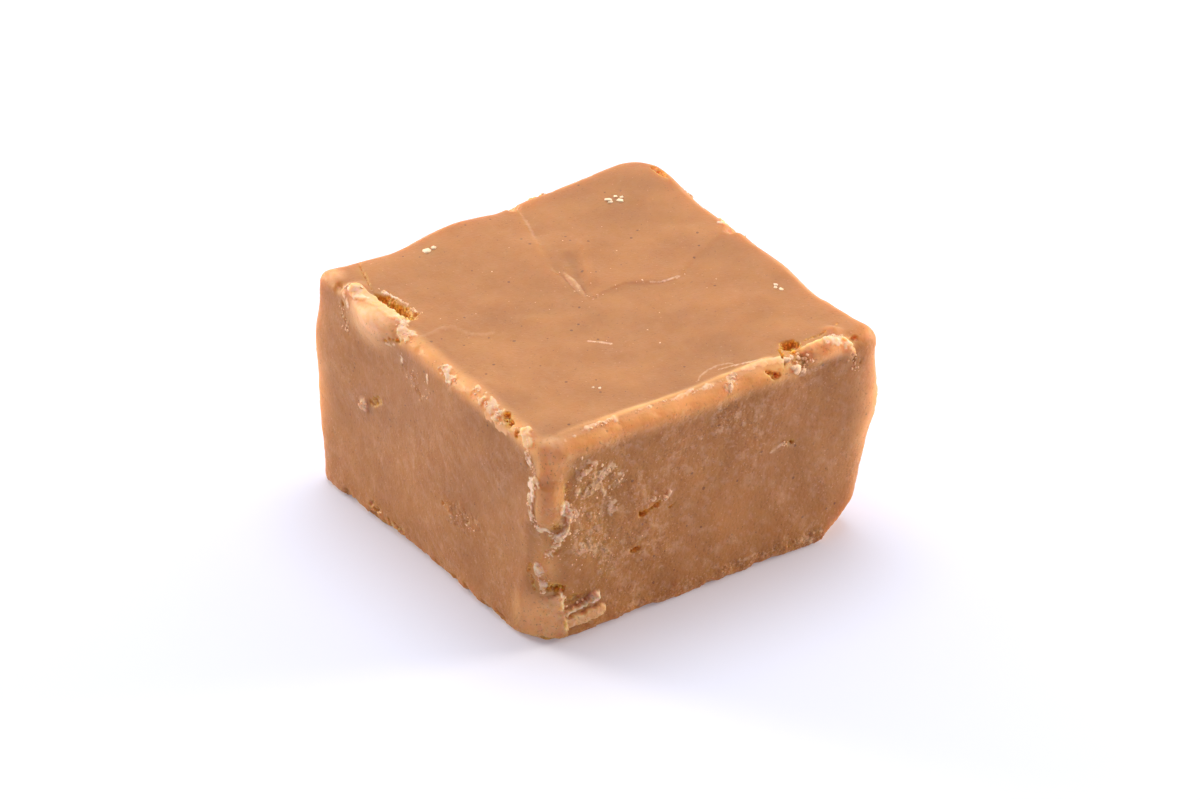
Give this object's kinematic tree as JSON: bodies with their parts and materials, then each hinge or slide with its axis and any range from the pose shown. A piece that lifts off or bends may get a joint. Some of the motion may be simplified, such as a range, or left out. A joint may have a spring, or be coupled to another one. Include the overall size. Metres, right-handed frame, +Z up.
{
  "type": "fudge cube",
  "caption": "Hand-cut cube of butter fudge with soft uneven faces, crumbled top edges, torn gashes and a clipped base corner.",
  "frame": {"origin": "middle of the block's plan, on the surface that it stands on", "axes": "+Z up; the gash at a top edge is on the -X side, the torn grainy side faces -Y"},
  "size_m": [0.0384, 0.038, 0.0233],
  "materials": {
    "fudge": "soft waxy satin, faintly translucent, grainy where it is torn",
    "pale_crumb": "dry matt crumbled fudge, paler than the block",
    "sugar_crystal": "small frosted sugar crystals"
  },
  "bodies": {
    "root": {"fudge_block": "fudge"}
  },
  "joints": []
}
